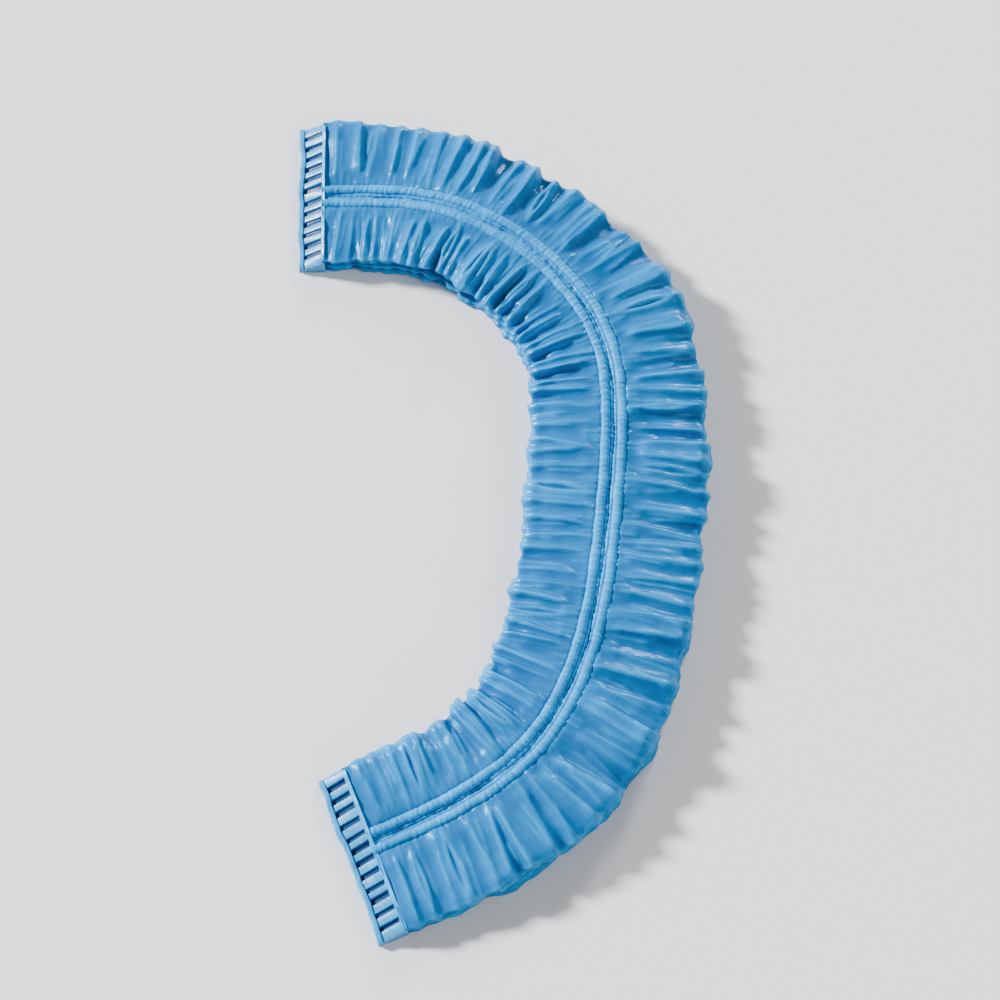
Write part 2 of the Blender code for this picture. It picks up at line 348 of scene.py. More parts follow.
class Creases:
    """A set of creases across a strip of film, each with its own place, lean, depth, width and reach.

    A crease has its place at the distance anchor across the film, and leans and bows from there. Some creases
    part into two ridges with a flat between them and close again, as a flattened pleat does. The lengths that
    a set is made from are in mm, and those that it keeps in metres.
    """

    # How much the creases of a set differ, as the least and the most, or for the bow as the usual amount
    places = (-0.25, 0.25)
    shares = (0.55, 1.2)
    glints = (0.4, 1.2)
    widths = (0.8, 1.3)
    skews = (0.2, 0.6)
    bows = 3.0
    loop_widths = (0.5, 0.9)
    # Shape of a crease, in its own widths: its reach and round top, and how much thinner its glint is
    reach = 6
    tip = 0.2
    thinness = 2.9
    # Shares of its width that it has at the hem and at the fold, and where it starts to part
    hem_share = 0.85
    fold_share = 1.25
    loop_start = 2 * MM

    def __init__(self, rng, run, pitch, depth, width, starts, lengths, fade, lean=0.045, glint=1, loops=0):
        count = round(run / (pitch * MM))
        self.at = (np.arange(count) + 0.5 + rng.uniform(*self.places, count)) * run / count
        share = rng.uniform(*self.shares, count)
        self.depth = depth * MM * share
        self.glint = glint * share * rng.uniform(*self.glints, count)
        self.width = width * MM * rng.uniform(*self.widths, count)
        self.skew = rng.choice((-1.0, 1.0), count) * rng.uniform(*self.skews, count)
        self.lean = rng.normal(0.0, lean, count)
        self.bow = rng.normal(0.0, self.bows, count)
        self.start = rng.uniform(*starts, count) * MM
        self.end = self.start + rng.uniform(*lengths, count) * MM
        self.loop = np.where(rng.random(count) < loops, rng.uniform(*self.loop_widths, count) * MM, 0.0)
        self.fade = fade * MM
        self.anchor = 0.0

    def straighten(self, start, end, fade):
        """Runs every crease straight across the film from start to end, in one ridge."""
        self.start[:] = start
        self.end[:] = end
        self.fade = fade
        for trait in (self.bow, self.lean, self.loop):
            trait[:] = 0.0

    def raise_fields(self, height, crest, along, across):
        """Adds the creases to a field of heights and to one of crest lines, which are painted as highlights.
        """
        past = across - self.anchor
        widest = np.abs(past).max()
        widen = self.hem_share + (self.fold_share - self.hem_share) * smooth_step(0.0, FLAP_RUN, across)
        parting = np.sin(math.pi * np.clip((across - self.loop_start) / FLAP_RUN, 0.0, 1.0))
        for n in range(len(self.at)):
            reach = self.reach * self.width[n] + abs(self.lean[n]) * widest + abs(self.bow[n]) * widest**2
            near = np.flatnonzero(np.abs(along - self.at[n]) < reach)
            middle = self.at[n] + self.lean[n] * past + self.bow[n] * past**2
            away = along[near, None] - middle[None, :]
            if self.loop[n] > 0:
                away = np.abs(away) - self.loop[n] * parting[None, :]
            away = away / (self.width[n] * widen)[None, :]
            away = away * np.where(away > 0, 1 + self.skew[n], 1 - self.skew[n])
            tent = np.exp(self.tip - np.sqrt(away**2 + self.tip**2))
            begun = smooth_step(self.start[n], self.start[n] + self.fade, across)
            over = smooth_step(self.end[n] - self.fade, self.end[n], across)
            strength = (begun * (1 - over))[None, :]
            height[near] += self.depth[n] * tent * strength
            crest[near] += self.glint[n] * bell(self.thinness * away, 1.0) * strength


def fade_to_joint(across):
    """1 over a layer, and down to 0 at the hidden fold that it ends in."""
    return 1 - smooth_step(across[-1] - JOINT_RUN, across[-1], across)


def side_flutes(run, side):
    """The main flutes of one side of the strip, the same for each layer that asks for them."""
    sizes = bpy.context.scene.cap_sizes
    rng = np.random.default_rng(61 if side > 0 else 62)
    pitch, depth = sizes.flute_pitch / MM, sizes.flute_depth / MM
    return Creases(
        rng, run, pitch, depth, width=0.72, starts=(-1, 2), lengths=(40, 60), fade=3, glint=0.85, loops=0.16
    )


def flap_flutes(rng, run, across, folds, side):
    """Creases of a top flap: flutes from hem to fold, short sharp ones, and gathers at the hem and mouth."""
    fold = folds[0]
    flutes = side_flutes(run, side)
    flutes.anchor = fold
    sharp = Creases(
        rng, run, 1.9, depth=0.38, width=0.36, starts=(0.5, 9), lengths=(6, 15), fade=2, lean=0.05, glint=0.9
    )
    gathers = Creases(
        rng, run, 1.25, depth=0.50, width=0.36, starts=(-1.6, -0.8), lengths=(2.2, 6), fade=1, glint=0.7
    )
    mouth = Creases(rng, run, 1.3, depth=0.26, width=0.34, starts=(-9, -9), lengths=(7.4, 7.6), fade=0.5)
    from_hem = 0.45 + 0.55 * smooth_step(0.5 * MM, 7 * MM, across)
    past_seat = smooth_step(-0.7 * MM, 0.8 * MM, across)
    in_mouth = 0.6 * (1 - smooth_step(-1.7 * MM, -1.2 * MM, across))
    under_fold = 1 - 0.75 * smooth_step(fold + 1.2 * MM, fold + 4 * MM, across)
    share = (from_hem * past_seat + in_mouth) * under_fold * fade_to_joint(across)
    lift = 1 - 0.7 * smooth_step(fold - 1.4 * MM, fold + 0.4 * MM, across)
    wave_height = 0.40 * MM
    return (flutes, sharp, gathers, mouth), share, lift, wave_height


def fold_flutes(rng, run, across, folds, side):
    """Creases of layers that show only at their two outer folds, which they frill.

    The first fold has the flutes of its own side of the strip and the second those of the other side.
    """
    between = sum(folds) / 2
    before_all, past_all = -20 * MM, 500 * MM
    creases = []
    for flutes_side, start, end in ((side, before_all, between), (-side, between, past_all)):
        flutes = side_flutes(run, flutes_side)
        flutes.at += rng.uniform(-0.25, 0.25, len(flutes.at)) * MM
        flutes.depth *= rng.uniform(0.75, 1.0, len(flutes.at))
        sharp = Creases(rng, run, 2.2, depth=0.4, width=0.45, starts=(0, 0), lengths=(0, 0), fade=0)
        for crease in (flutes, sharp):
            crease.straighten(start, end, 2 * MM)
            creases.append(crease)
    hidden, shown = 0.14, 0.72
    share = hidden + shown * sum(bell(across - fold, 1.9 * MM) for fold in folds)
    from_joint = smooth_step(0.0, JOINT_RUN, across)
    share *= from_joint * fade_to_joint(across)
    lift = np.full_like(across, 0.3)
    wave_height = 0.42 * MM
    return creases, share, lift, wave_height


def smoothed(values, reach, step):
    """A line of values smoothed over a distance to each side."""
    kernel = np.hanning(2 * round(reach / step) + 3)[1:-1]
    return np.convolve(values, kernel / kernel.sum(), mode="same")


def slow_waves(rng, along, across, lengths, height):
    """A field of slow waves over the film."""
    field = np.zeros((len(along), len(across)))
    for length in lengths:
        turn = rng.uniform(-0.5, 0.5)
        phase = rng.uniform(0, FULL_TURN)
        waves = along[:, None] * math.cos(turn) + across[None, :] * math.sin(turn)
        field += height / len(lengths) * np.sin(FULL_TURN * waves / length + phase)
    return field


def round_folds(height, across, folds, step):
    """Rounds the flutes off where they turn round a fold, so that the edge is scalloped and not spiky."""
    softening, fold_width, most = 1.1 * MM, 1.3 * MM, 0.9
    soft = np.stack([smoothed(column, softening, step) for column in height.T], axis=1)
    share = np.zeros_like(across)
    for fold in folds:
        share = np.maximum(share, most * bell(across - fold, fold_width))
    return height * (1 - share) + soft * share


def hold_down(height, limit):
    """Heights with only a part left of what stands above a limit."""
    return np.minimum(height, limit + 0.4 * (height - limit))


def edge_lift(run, side, along, step):
    """How far the layers' edges are stretched upwards along the strip, as a share, by the flutes in them."""
    flutes = side_flutes(run, side)
    flutes.start[:] = -1.0
    height = np.zeros((len(along), 1))
    flutes.raise_fields(height, height.copy(), along, np.zeros(1))
    profile = smoothed(height[:, 0], 0.8 * MM, step)
    return (profile - profile.mean()) / flutes.depth.mean()


def film_painted_light(glints, height, across, share, folds):
    """How much painted light the film gets: up to 1 for painted highlight on a glint, by the hems and in the
    groove between them and on a fold, down to -1 for painted shade in the valleys.
    """
    depth = bpy.context.scene.cap_sizes.flute_depth
    # Painted shade in the valleys between the flutes
    valley_shade = np.minimum((height - 0.15 * depth) / (0.42 * depth), 0.0)
    # Painted highlight by the hems and in the groove between them, lifting the shade that falls there
    groove_highlight = 0.8 * (1 - smooth_step(-0.6 * MM, 1.2 * MM, across))
    # Painted highlight along the outer folds
    fold_highlight = 0.7 * sum(bell(across - fold, 0.55 * MM) for fold in folds)
    crest = glints * (0.35 + 0.65 * share[None, :]) + valley_shade + (groove_highlight + fold_highlight)[None, :]
    return np.clip(crest, -1.0, 1.0)


def film_layer(name, line, table, side, seed, flutes, step, mirrored=False):
    """A mesh object of one run of film between two folds, fluted across the strip.

    flutes is called with (rng, run, across, folds, side) and returns the creases to raise, the share of their
    full depth across the film, how much of it goes up or down, and the height of the slow waves. folds are
    the places of the outer folds. A mirrored layer goes on across the strip to its other side.
    """
    sizes = bpy.context.scene.cap_sizes
    rng = np.random.default_rng(seed)
    along = line.distances(step)
    shares = line.share(along)
    rise = puff(shares, line.run)
    wander = slow_waves(rng, along, np.zeros(1), WANDER_WAVES, sizes.edge_wander)[:, 0] * rise
    knots = section_knots(table, reach_to_fold(shares, side) + wander, rise)
    kinds = [row[0] for row in table]
    if mirrored:
        other = section_knots(table, reach_to_fold(shares, -side) + wander, rise)[:, -2::-1]
        other[:, :, 0] *= -1
        knots = np.concatenate((knots, other), axis=1)
        kinds += kinds[-2::-1]
    weights, across, places = curve_weights(knots[(len(along) - 1) // 2], sizes.across_step)
    start = places[kinds.index("seat")] if "seat" in kinds else 0.0
    across = across - start
    folds = [place - start for kind, place in zip(kinds, places) if kind == "fold"]
    section = np.einsum("ij,sjk->sik", weights, knots)
    points = line.points(along, side * section[:, :, 0], section[:, :, 1])

    height = np.zeros(points.shape[:2])
    glints = np.zeros(points.shape[:2])
    creases, share, lift, wave_height = flutes(rng, line.run, across, folds, side)
    for crease in creases:
        crease.raise_fields(height, glints, along, across)
    sinking, tallest = 0.65, 0.9
    height -= sinking * height.mean(axis=0, keepdims=True)
    height += slow_waves(rng, along, across, FILM_WAVES, wave_height)
    height = hold_down(round_folds(height, across, folds, step), tallest * sizes.flute_depth)
    pressed = sizes.pressed_flutes + (1 - sizes.pressed_flutes) * rise
    height *= pressed[:, None] * share[None, :]
    moves = grid_normals(points) * side * height[:, :, None]
    moves[:, :, 2] *= lift[None, :]
    points += moves
    edge_width = 3.2 * MM
    for number, fold in enumerate(folds):
        lifts = edge_lift(line.run, -side if mirrored and number else side, along, step)
        near = bell(across - fold, edge_width)
        points[:, :, 2] *= 1 + sizes.edge_stretch * (rise * lifts)[:, None] * near[None, :]
    lowest = sizes.film_thickness * 0.55
    points[:, :, 2] = np.maximum(points[:, :, 2], lowest)

    # The crest values set the film's painted highlight and painted shade
    crest = film_painted_light(glints * pressed[:, None], height, across, share, folds)
    return grid_object(name, points, side, along, across, crest)


def hem_tube(name, line, side, seed, node):
    """A hem as a tube closed at both ends: the film's edge gathered tightly over its elastic."""
    sizes = bpy.context.scene.cap_sizes
    rng = np.random.default_rng(seed)
    along = line.distances(sizes.hem_step)
    low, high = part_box(node)
    radius = sizes.hem_thickness / 2
    middle = low.z + radius + (high.z - low.z - 2 * radius) * puff(line.share(along), line.run)
    sides = 24
    turns = np.linspace(0.0, FULL_TURN, sides + 1)[:-1]

    pinch_pitch, pinch_depth, pinch_lean = 1.5 * MM, 0.10 * MM, 0.30 * MM
    pinch_width, pinch_reach = 0.22 * MM, 1.4 * MM
    pinches = round(line.run / pinch_pitch)
    places = (np.arange(pinches) + 0.5 + rng.uniform(-0.45, 0.45, pinches)) * line.run / pinches
    depths = rng.uniform(0.0, 1.0, pinches) * pinch_depth
    leans = rng.normal(0.0, pinch_lean, pinches)
    swell = slow_waves(rng, along, turns * radius, SWELL_WAVES, 0.08 * MM)
    swell += slow_waves(rng, along, turns * radius * 1.5, GATHER_WAVES, 0.11 * MM)
    sway = slow_waves(rng, along, np.zeros(1), SWAY_WAVES, 0.10 * MM)
    groove = np.zeros_like(swell)
    for place, depth, lean in zip(places, depths, leans):
        near = np.flatnonzero(np.abs(along - place) < pinch_reach)
        away = along[near, None] - place - lean * np.sin(turns)[None, :]
        groove[near] += depth * bell(away, pinch_width)
    gathers = swell - groove
    sideways, upwards = 0.5, 0.9
    aside = side * (sizes.hem_spacing / 2 + sway + (sizes.hem_width / 2 + sideways * gathers) * np.cos(turns))
    heights = middle[:, None] + upwards * (radius + gathers) * np.sin(turns)
    # Painted light on the hem: painted highlight on the swells of its gathers, painted shade in the pinches
    crest = np.clip(0.10 + gathers / (0.12 * MM), -1.0, 1.0)
    points = line.points(along, aside, heights)
    return grid_object(name, points, side, along, turns * radius, crest, closed=True)


def grid_object(name, points, side, along, across, crest, closed=False):
    """A mesh object of a grid of points, with its distances and crests kept as attributes. The crests set
    painted highlight and painted shade.

    closed joins its last column to its first and caps its ends, for a tube.
    """
    rows, columns = points.shape[:2]
    places = np.arange(rows * columns).reshape(rows, columns)
    if closed:
        places = np.concatenate((places, places[:, :1]), axis=1)
    quads = np.stack((places[:-1, :-1], places[1:, :-1], places[1:, 1:], places[:-1, 1:]), axis=-1)
    quads = quads.reshape(-1, 4)
    faces = (quads if (side > 0) != closed else quads[:, ::-1]).tolist()
    if closed:
        ends = (places[0, :-1], places[-1, -2::-1])
        faces += [(end if side > 0 else end[::-1]).tolist() for end in ends]
    mesh = bpy.data.meshes.new(name)
    mesh.from_pydata(points.reshape(-1, 3), [], faces)
    cloth = mesh.attributes.new("cloth", "FLOAT_VECTOR", "POINT")
    ways = np.zeros_like(points)
    ways[:, :, 0] = along[:, None]
    ways[:, :, 1] = across[None, :]
    cloth.data.foreach_set("vector", ways.ravel())
    crests = mesh.attributes.new("crest", "FLOAT", "POINT")
    crests.data.foreach_set("value", crest.ravel())
    mesh.shade_smooth()
    piece = bpy.data.objects.new(name, mesh)
    bpy.context.scene.collection.objects.link(piece)
    return piece


def select_only(piece):
    """Makes a piece the only selected and the active one."""
    bpy.ops.object.select_all(action="DESELECT")
    piece.select_set(True)
    bpy.context.view_layer.objects.active = piece


def dress(piece, material, slot, *nodes):
    """Gives a piece its material, unless it has its own, and ties it to the frame."""
    if material:
        piece.data.materials.append(material)
    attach(piece, BODY)
    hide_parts(*nodes)


def make_film(name, table, side, seed, flutes, step, width, held, mirrored=False):
    """One run of film as a finished piece with its wall. width is that of the flat sheet, and it is not used.
    """
    line = HemLine()
    piece = film_layer(name, line, table, side, seed, flutes, step, mirrored)
    select_only(piece)
    wall = piece.modifiers.new("wall", "SOLIDIFY")
    wall.thickness = bpy.context.scene.cap_sizes.film_thickness
    wall.offset = 0.0
    bpy.ops.object.modifier_apply(modifier=wall.name)
    dress(piece, cap_film_material(), "film", "cap_film")


def add_node(tree, kind, **inputs):
    """A shader node with its inputs set.

    set_ before a name sets a value of the node itself, and i before a number is an input's number. Otherwise
    a _ in a name is a space. An input that is a socket is linked.
    """
    node = tree.nodes.new(kind)
    for name, value in inputs.items():
        if name.startswith("set_"):
            setattr(node, name[4:], value)
            continue
        socket = node.inputs[int(name[1:])] if name[1:].isdigit() else node.inputs[name.replace("_", " ")]
        if isinstance(value, bpy.types.NodeSocket):
            tree.links.new(value, socket)
        else:
            socket.default_value = value
    return node


def noise(tree, place, scale, detail, roughness):
    """The value of a noise texture at a place."""
    node = add_node(tree, "ShaderNodeTexNoise", Vector=place, Scale=scale, Detail=detail, Roughness=roughness)
    return node.outputs["Fac"]


def map_range(tree, value, low, high, to_low, to_high):
    """A value from low to high as one from to_low to to_high."""
    node = add_node(
        tree, "ShaderNodeMapRange", Value=value, From_Min=low, From_Max=high, To_Min=to_low, To_Max=to_high
    )
    return node.outputs["Result"]


def multiply_add(tree, value, factor, addend, clamp=False):
    """A value times a factor plus an addend, kept between 0 and 1 if clamp is true."""
    inputs = {"i0": value, "i1": factor, "i2": addend}
    node = add_node(tree, "ShaderNodeMath", set_operation="MULTIPLY_ADD", set_use_clamp=clamp, **inputs)
    return node.outputs["Value"]


def mix_colours(tree, share, first, second, way="MIX"):
    """Two colours mixed by a share of the second."""
    node = add_node(
        tree, "ShaderNodeMix", set_data_type="RGBA", set_blend_type=way, Factor=share, i6=first, i7=second
    )
    return node.outputs[2]


def drawn_out(tree, place, across):
    """A place on the film for a pattern that is drawn out across it, where its scale is across."""
    return add_node(tree, "ShaderNodeMapping", Vector=place, Scale=(1.0, across, 1.0)).outputs["Vector"]


def node_group(name, inputs, outputs):
    """An empty shader node group as (tree, group input node, group output node).

    inputs and outputs hold each socket's label and kind.
    """
    tree = bpy.data.node_groups.new(name, "ShaderNodeTree")
    for way, sockets in (("INPUT", inputs), ("OUTPUT", outputs)):
        for label, kind in sockets.items():
            tree.interface.new_socket(label, in_out=way, socket_type="NodeSocket" + kind)
    return tree, tree.nodes.new("NodeGroupInput"), tree.nodes.new("NodeGroupOutput")


def use_group(tree, group, **inputs):
    """A node that uses a group, with its inputs set as add_node does."""
    return add_node(tree, "ShaderNodeGroup", set_node_tree=group, **inputs)


def film_crinkle_group():
    """Height of the fine crinkles of thin film: short creases across the strip over a soft crumple."""
    if "film crinkle" in bpy.data.node_groups:
        return bpy.data.node_groups["film crinkle"]
    tree, given, out = node_group(
        "film crinkle",
        {"Cloth": "Vector", "Crease Scale": "Float", "Crumple Scale": "Float"},
        {"Height": "Float", "Mask": "Float"},
    )
    cloth = given.outputs["Cloth"]
    creases = noise(tree, drawn_out(tree, cloth, 0.13), given.outputs["Crease Scale"], 3.0, 0.6)
    ridges = add_node(tree, "ShaderNodeMath", set_operation="PINGPONG", i0=creases, i1=0.12).outputs["Value"]
    crumple = noise(tree, cloth, given.outputs["Crumple Scale"], 1.5, 0.5)
    tree.links.new(multiply_add(tree, crumple, 0.35, ridges), out.inputs["Height"])
    tree.links.new(crumple, out.inputs["Mask"])
    return tree


def film_tint_and_painted_light_group():
    """Colour of the film: painted shade in the valleys, painted highlight on the crests with fine pale
    streaks that are partly stress lines and partly painted highlight, and a tone that is uneven all over.
    """
    if "film tint and painted light" in bpy.data.node_groups:
        return bpy.data.node_groups["film tint and painted light"]
    tree, given, out = node_group(
        "film tint and painted light",
        {"Colour": "Color", "Deep": "Color", "Pale": "Color", "Crest": "Float", "Cloth": "Vector"},
        {"Colour": "Color"},
    )
    cloth = given.outputs["Cloth"]
    crest = given.outputs["Crest"]
    # Painted shade: the colour goes deeper in the valleys
    valley_shade = map_range(tree, crest, -0.9, 0.1, 0.75, 0.0)
    shaded_colour = mix_colours(tree, valley_shade, given.outputs["Colour"], given.outputs["Deep"])
    # Fine pale streaks, strongest near the crests: partly stress lines in the film, partly painted highlight
    threads = noise(tree, drawn_out(tree, cloth, 0.09), 1900.0, 2.0, 0.6)
    streaks = map_range(tree, threads, 0.50, 0.78, 0.0, 0.55)
    streaked = map_range(tree, crest, -0.5, 0.5, 0.10, 0.70)
    # Painted highlight on the crests
    crest_highlight = map_range(tree, crest, 0.10, 1.0, 0.0, 0.75)
    glints = multiply_add(tree, streaks, streaked, crest_highlight, clamp=True)
    paled = mix_colours(tree, glints, shaded_colour, given.outputs["Pale"])
    cloud = map_range(tree, noise(tree, cloth, 160.0, 3.0, 0.6), 0.3, 0.7, 0.86, 1.14)
    tree.links.new(mix_colours(tree, 1.0, paled, cloud, way="MULTIPLY"), out.inputs["Colour"])
    return tree


def new_material(name):
    """A new material as (material, node tree, Principled shader)."""
    material = bpy.data.materials.new(name)
    material.use_nodes = True
    return material, material.node_tree, material.node_tree.nodes["Principled BSDF"]


def finish_shader(tree, shader, colour, roughness, bump, height):
    """Links a colour and a roughness to a shader, and a height by way of a bump of a strength."""
    bumped = add_node(tree, "ShaderNodeBump", Strength=bump, Distance=0.0002, Height=height)
    tree.links.new(colour, shader.inputs["Base Color"])
    tree.links.new(roughness, shader.inputs["Roughness"])
    tree.links.new(bumped.outputs["Normal"], shader.inputs["Normal"])


def film_material(name, colour, deep, pale, alpha, roughness, bump, crease_scale):
    """Glossy thin film that lets some light through."""
    if name in bpy.data.materials:
        return bpy.data.materials[name]
    material, tree, shader = new_material(name)
    cloth = add_node(tree, "ShaderNodeAttribute", set_attribute_name="cloth").outputs["Vector"]
    crest = add_node(tree, "ShaderNodeAttribute", set_attribute_name="crest").outputs["Fac"]
    scales = {"Crease_Scale": crease_scale, "Crumple_Scale": 330.0}
    crinkle = use_group(tree, film_crinkle_group(), Cloth=cloth, **scales)
    tints = {"Colour": (*colour, 1.0), "Deep": (*deep, 1.0), "Pale": (*pale, 1.0)}
    # The tint paints shade into the valleys and highlight onto the crests, as the crest attribute gives them
    tint = use_group(tree, film_tint_and_painted_light_group(), Crest=crest, Cloth=cloth, **tints)
    gloss = map_range(tree, crinkle.outputs["Mask"], 0.3, 0.7, roughness - 0.07, roughness + 0.09)
    finish_shader(tree, shader, tint.outputs["Colour"], gloss, bump, crinkle.outputs["Height"])
    shader.inputs["Alpha"].default_value = alpha
    shader.inputs["IOR"].default_value = 1.5
    shader.inputs["Specular IOR Level"].default_value = 0.4
    shader.inputs["Specular Tint"].default_value = (0.22, 0.62, 1.0, 1.0)
    return material


def welded_material(name, colour, pale, bump, specular):
    """Film welded into one, cloudy, paler where it stands proud and with its plies showing at the edges."""
    if name in bpy.data.materials:
        return bpy.data.materials[name]
    material, tree, shader = new_material(name)
    place = add_node(tree, "ShaderNodeTexCoord").outputs["Object"]
    crest = add_node(tree, "ShaderNodeAttribute", set_attribute_name="crest").outputs["Fac"]
    crinkle = use_group(tree, film_crinkle_group(), Cloth=place, Crease_Scale=1400.0, Crumple_Scale=700.0)
    plies = add_node(
        tree, "ShaderNodeTexWave", set_bands_direction="Z", Vector=place, Scale=1100, Distortion=1.2, Detail=2
    )
    clouds = noise(tree, place, 520.0, 3.0, 0.6)
    paling = multiply_add(tree, crest, 0.55, map_range(tree, clouds, 0.42, 0.72, 0.0, 0.5), clamp=True)
    tint = mix_colours(tree, paling, (*colour, 1.0), (*pale, 1.0))
    gloss = map_range(tree, clouds, 0.3, 0.7, 0.22, 0.42)
    height = multiply_add(tree, plies.outputs["Fac"], 0.25, crinkle.outputs["Height"])
    finish_shader(tree, shader, tint, gloss, bump, height)
    shader.inputs["Specular IOR Level"].default_value = specular
    return material


def cap_film_material():
    """The material of all the film, with painted shade in its valleys and painted highlight on its crests."""
    colours = bpy.context.scene.cap_colours
    tints = (colours.film, colours.film_painted_shade, colours.film_pale_and_highlight)
    return film_material("blue film", *tints, alpha=0.80, roughness=0.24, bump=1.0, crease_scale=1000.0)


def hem_material():
    """The material of the hems: the same film drawn tight and satin, paler than the film, with painted
    highlight on the swells of its gathers and painted shade, in the film's colour, in the pinches between
    them.
    """
    colours = bpy.context.scene.cap_colours
    tints = (colours.hem, colours.film, colours.film_pale_and_highlight)
    return film_material("blue hem", *tints, alpha=1.0, roughness=0.42, bump=0.9, crease_scale=1500.0)


def seal_material():
    """The material of the seals."""
    colours = bpy.context.scene.cap_colours
    return welded_material("blue seal", colours.seal, colours.film_pale_and_highlight, bump=0.4, specular=0.6)


def slot_shade_material():
    """The material of the pressed slots, painted near black as painted shade so that they read as dark
    hollows.
    """
    colours = bpy.context.scene.cap_colours
    return welded_material("pressed slot", colours.slot, colours.slot, bump=0.05, specular=0.15)


def select_elements(kind, test):
    """Selects the faces (FACE) or vertices (VERT) in edit mode that pass a test, and nothing else."""
    bpy.ops.mesh.select_mode(type=kind)
    bpy.ops.mesh.select_all(action="DESELECT")
    mesh = bpy.context.edit_object.data
    shape = bmesh.from_edit_mesh(mesh)
    for element in shape.faces if kind == "FACE" else shape.verts:
        if test(element):
            element.select_set(True)
    bmesh.update_edit_mesh(mesh)


def inset_and_move(test, wall, height):
    """Insets by a wall the upper faces whose middles pass a test, and moves them up by a height."""
    select_elements("FACE", lambda face: face.normal.z > UPWARDS and test(face.calc_center_median()))
    bpy.ops.mesh.inset(thickness=wall)
    bpy.ops.transform.translate(value=(0, 0, height))


def cut_across(axis, place):
    """Cuts the whole mesh in edit mode with a plane across an axis, and keeps both sides."""
    bpy.ops.mesh.select_all(action="SELECT")
    normal = [0.0, 0.0, 0.0]
    normal[axis] = 1.0
    bpy.ops.mesh.bisect(plane_co=[place * way for way in normal], plane_no=normal)


def press_slots(seal, left, right, comb_start, comb_end, seed):
    """Cuts a seal's comb in edit mode into slots and presses them down, each a little differently."""
    sizes = bpy.context.scene.cap_sizes
    count = int((left + right - sizes.slot_width) / sizes.slot_pitch)
    first = (left - right - (count - 1) * sizes.slot_pitch - sizes.slot_width) / 2
    rng = np.random.default_rng(seed)
    lows = first + np.arange(count) * sizes.slot_pitch + rng.uniform(-0.14, 0.14, count) * MM
    slots = list(zip(lows, lows + sizes.slot_width * rng.uniform(0.82, 1.15, count)))
    for low, high in slots:
        cut_across(1, low)
        cut_across(1, high)
    # The slots take the second material, whose near-black colour is painted shade
    seal.active_material_index = 1
    for low, high in slots:
        inset_and_move(
            lambda middle: comb_start < middle.x < comb_end and low < middle.y < high,
            wall=0.12 * MM,
            height=-sizes.slot_depth * rng.uniform(0.7, 1.25),
        )
        bpy.ops.object.material_slot_assign()


def model_seal(name, left, right, seed):
    """A seal modelled with its cut end at x = 0 and the film towards +X.

    It is a ramp from the rim up to the film's layers, with a row of pressed slots and a raised weld line.
    """
    sizes = bpy.context.scene.cap_sizes
    length, top, rim = sizes.seal_length, sizes.seal_top, sizes.rim_length
    comb_end = length - sizes.weld_line
    bpy.ops.object.select_all(action="DESELECT")
    bpy.ops.mesh.primitive_cube_add(
        size=1, location=(length / 2, (left - right) / 2, top / 2), scale=(length, left + right, top)
    )
    seal = bpy.context.active_object
    seal.name = name
    seal.data.name = name
    seal.data.materials.append(seal_material())
    seal.data.materials.append(slot_shade_material())
    bpy.ops.object.transform_apply()
    bpy.ops.object.mode_set(mode="EDIT")
    cut_across(0, rim)
    select_elements("VERT", lambda point: point.co.x < rim + 0.01 * MM and point.co.z > top / 2)
    bpy.ops.transform.translate(value=(0, 0, sizes.comb_foot - top))
    cut_across(0, comb_end)
    press_slots(seal, left, right, rim, comb_end, seed)
    inset_and_move(lambda middle: middle.x > comb_end, wall=0.14 * MM, height=0.22 * MM)
    inset_and_move(lambda middle: middle.x < rim, wall=0.10 * MM, height=sizes.rim_height - sizes.comb_foot)
    for ply in range(1, int(top / PLY_HEIGHT) + 1):
        cut_across(2, ply * PLY_HEIGHT)
    bpy.ops.mesh.select_all(action="SELECT")
    bpy.ops.mesh.subdivide(number_cuts=1)
    bpy.ops.object.mode_set(mode="OBJECT")

    edges = seal.modifiers.new("edges", "BEVEL")
    edges.width = 0.10 * MM
    edges.segments = 2
    edges.limit_method = "ANGLE"
    edges.angle_limit = math.radians(24)
    bpy.ops.object.modifier_apply(modifier=edges.name)
    press_unevenly(seal, seed)
    bpy.ops.object.shade_smooth_by_angle(angle=math.radians(50))
    return seal


